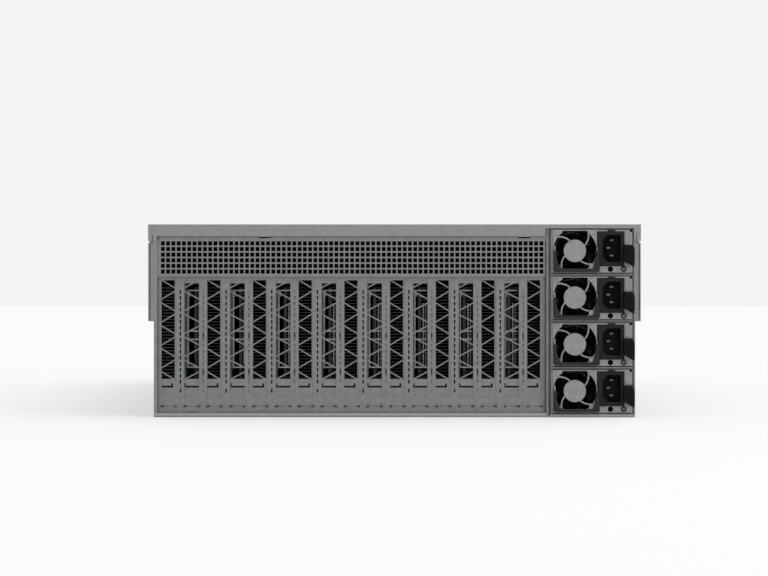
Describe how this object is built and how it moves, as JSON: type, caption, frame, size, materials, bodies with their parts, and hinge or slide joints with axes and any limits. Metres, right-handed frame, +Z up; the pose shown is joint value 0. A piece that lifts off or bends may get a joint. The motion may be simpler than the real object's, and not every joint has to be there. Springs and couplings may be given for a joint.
{
  "type": "gpu server chassis",
  "caption": "Rack-mount GPU server chassis with a perforated rear vent, truss-vented card brackets, hot-swap power supplies and a lift-off cover.",
  "frame": {"origin": "middle of the flat underside of the base pan", "axes": "+Z up, the rear face with the card slots looks along -Y, the rack ears are at +Y, +X is the supply side"},
  "size_m": [0.4826, 0.788, 0.171],
  "materials": {
    "chassis_steel": "satin galvanised sheet",
    "cover_steel": "satin galvanised sheet",
    "bracket_steel": "satin plated sheet",
    "frame_steel": "satin plated sheet",
    "handle_aluminium": "satin anodised",
    "fin_aluminium": "matt",
    "dark_shroud": "matt black",
    "green_board": "satin solder mask",
    "black_plastic": "matt",
    "rotor_plastic": "matt",
    "guard_plastic": "satin grey",
    "inlet_plastic": "satin black",
    "handle_plastic": "satin dark grey",
    "supply_metal": "satin plated sheet"
  },
  "bodies": {
    "chassis": {"base_pan": "chassis_steel", "left_side_wall": "chassis_steel", "right_side_wall": "chassis_steel", "rear_panel": "chassis_steel", "psu_cage": "chassis_steel", "front_panel": "chassis_steel", "fan_wall": "chassis_steel", "left_ear": "chassis_steel", "left_handle": "handle_aluminium", "right_ear": "chassis_steel", "right_handle": "handle_aluminium", "card_bracket_1": "bracket_steel", "card_bracket_2": "bracket_steel", "card_bracket_3": "bracket_steel", "card_bracket_4": "bracket_steel", "card_bracket_5": "bracket_steel", "card_bracket_6": "bracket_steel", "card_bracket_7": "bracket_steel", "card_bracket_8": "bracket_steel", "slim_bracket": "bracket_steel", "card_boards": "green_board", "card_end_frames": "frame_steel", "card_heatsinks": "fin_aluminium", "card_shrouds": "dark_shroud", "slot_board": "green_board", "card_slots": "black_plastic", "main_board": "green_board", "cpu_coolers": "fin_aluminium", "memory_modules": "black_plastic", "fan_frames": "black_plastic", "power_backplane": "green_board"},
    "cover": {"top_cover": "cover_steel"},
    "button": {"power_button": "black_plastic"},
    "fan_1": {"fan_rotor_1": "rotor_plastic"},
    "fan_2": {"fan_rotor_2": "rotor_plastic"},
    "fan_3": {"fan_rotor_3": "rotor_plastic"},
    "psu1": {"psu1_case": "supply_metal", "psu1_fan_guard": "guard_plastic", "psu1_inlet": "inlet_plastic"},
    "psu1_fan": {"psu1_fan_rotor": "rotor_plastic"},
    "psu1_bail": {"psu1_handle": "handle_plastic"},
    "psu1_release": {"psu1_latch": "black_plastic"},
    "psu2": {"psu2_case": "supply_metal", "psu2_fan_guard": "guard_plastic", "psu2_inlet": "inlet_plastic"},
    "psu2_fan": {"psu2_fan_rotor": "rotor_plastic"},
    "psu2_bail": {"psu2_handle": "handle_plastic"},
    "psu2_release": {"psu2_latch": "black_plastic"},
    "psu3": {"psu3_case": "supply_metal", "psu3_fan_guard": "guard_plastic", "psu3_inlet": "inlet_plastic"},
    "psu3_fan": {"psu3_fan_rotor": "rotor_plastic"},
    "psu3_bail": {"psu3_handle": "handle_plastic"},
    "psu3_release": {"psu3_latch": "black_plastic"},
    "psu4": {"psu4_case": "supply_metal", "psu4_fan_guard": "guard_plastic", "psu4_inlet": "inlet_plastic"},
    "psu4_fan": {"psu4_fan_rotor": "rotor_plastic"},
    "psu4_bail": {"psu4_handle": "handle_plastic"},
    "psu4_release": {"psu4_latch": "black_plastic"}
  },
  "joints": [
    {"name": "cover_lift", "type": "slide", "parent": "chassis", "child": "cover", "axis": [0, 0, 1], "range_m": [0, 0.25]},
    {"name": "button_press", "type": "slide", "parent": "chassis", "child": "button", "axis": [0, -1, 0], "range_m": [0, 0.002], "stiffness_N_per_m": 400},
    {"name": "fan_1_spin", "type": "hinge", "parent": "chassis", "child": "fan_1", "pos_m": [-0.138, -0.065, 0.085], "axis": [0, 1, 0], "continuous": true},
    {"name": "fan_2_spin", "type": "hinge", "parent": "chassis", "child": "fan_2", "pos_m": [0, -0.065, 0.085], "axis": [0, 1, 0], "continuous": true},
    {"name": "fan_3_spin", "type": "hinge", "parent": "chassis", "child": "fan_3", "pos_m": [0.138, -0.065, 0.085], "axis": [0, 1, 0], "continuous": true},
    {"name": "psu1_slide", "type": "slide", "parent": "chassis", "child": "psu1", "axis": [0, -1, 0], "range_m": [0, 0.262]},
    {"name": "psu1_fan_spin", "type": "hinge", "parent": "psu1", "child": "psu1_fan", "pos_m": [0.1599, -0.3605, 0.1465], "axis": [0, 1, 0], "continuous": true},
    {"name": "psu1_bail_swing", "type": "hinge", "parent": "psu1", "child": "psu1_bail", "pos_m": [0.1608, -0.3734, 0.1452], "axis": [-1, 0, 0], "range_deg": [0, 90]},
    {"name": "psu1_latch_press", "type": "hinge", "parent": "psu1", "child": "psu1_release", "pos_m": [0.2084, -0.3635, 0.1447], "axis": [0, 0, -1], "range_deg": [0, 8], "stiffness_Nm_per_rad": 0.6},
    {"name": "psu2_slide", "type": "slide", "parent": "chassis", "child": "psu2", "axis": [0, -1, 0], "range_m": [0, 0.262]},
    {"name": "psu2_fan_spin", "type": "hinge", "parent": "psu2", "child": "psu2_fan", "pos_m": [0.1599, -0.3605, 0.1051], "axis": [0, 1, 0], "continuous": true},
    {"name": "psu2_bail_swing", "type": "hinge", "parent": "psu2", "child": "psu2_bail", "pos_m": [0.1608, -0.3734, 0.1038], "axis": [-1, 0, 0], "range_deg": [0, 90]},
    {"name": "psu2_latch_press", "type": "hinge", "parent": "psu2", "child": "psu2_release", "pos_m": [0.2084, -0.3635, 0.1033], "axis": [0, 0, -1], "range_deg": [0, 8], "stiffness_Nm_per_rad": 0.6},
    {"name": "psu3_slide", "type": "slide", "parent": "chassis", "child": "psu3", "axis": [0, -1, 0], "range_m": [0, 0.262]},
    {"name": "psu3_fan_spin", "type": "hinge", "parent": "psu3", "child": "psu3_fan", "pos_m": [0.1599, -0.3605, 0.0637], "axis": [0, 1, 0], "continuous": true},
    {"name": "psu3_bail_swing", "type": "hinge", "parent": "psu3", "child": "psu3_bail", "pos_m": [0.1608, -0.3734, 0.0624], "axis": [-1, 0, 0], "range_deg": [0, 90]},
    {"name": "psu3_latch_press", "type": "hinge", "parent": "psu3", "child": "psu3_release", "pos_m": [0.2084, -0.3635, 0.0619], "axis": [0, 0, -1], "range_deg": [0, 8], "stiffness_Nm_per_rad": 0.6},
    {"name": "psu4_slide", "type": "slide", "parent": "chassis", "child": "psu4", "axis": [0, -1, 0], "range_m": [0, 0.262]},
    {"name": "psu4_fan_spin", "type": "hinge", "parent": "psu4", "child": "psu4_fan", "pos_m": [0.1599, -0.3605, 0.0223], "axis": [0, 1, 0], "continuous": true},
    {"name": "psu4_bail_swing", "type": "hinge", "parent": "psu4", "child": "psu4_bail", "pos_m": [0.1608, -0.3734, 0.021], "axis": [-1, 0, 0], "range_deg": [0, 90]},
    {"name": "psu4_latch_press", "type": "hinge", "parent": "psu4", "child": "psu4_release", "pos_m": [0.2084, -0.3635, 0.0205], "axis": [0, 0, -1], "range_deg": [0, 8], "stiffness_Nm_per_rad": 0.6}
  ]
}
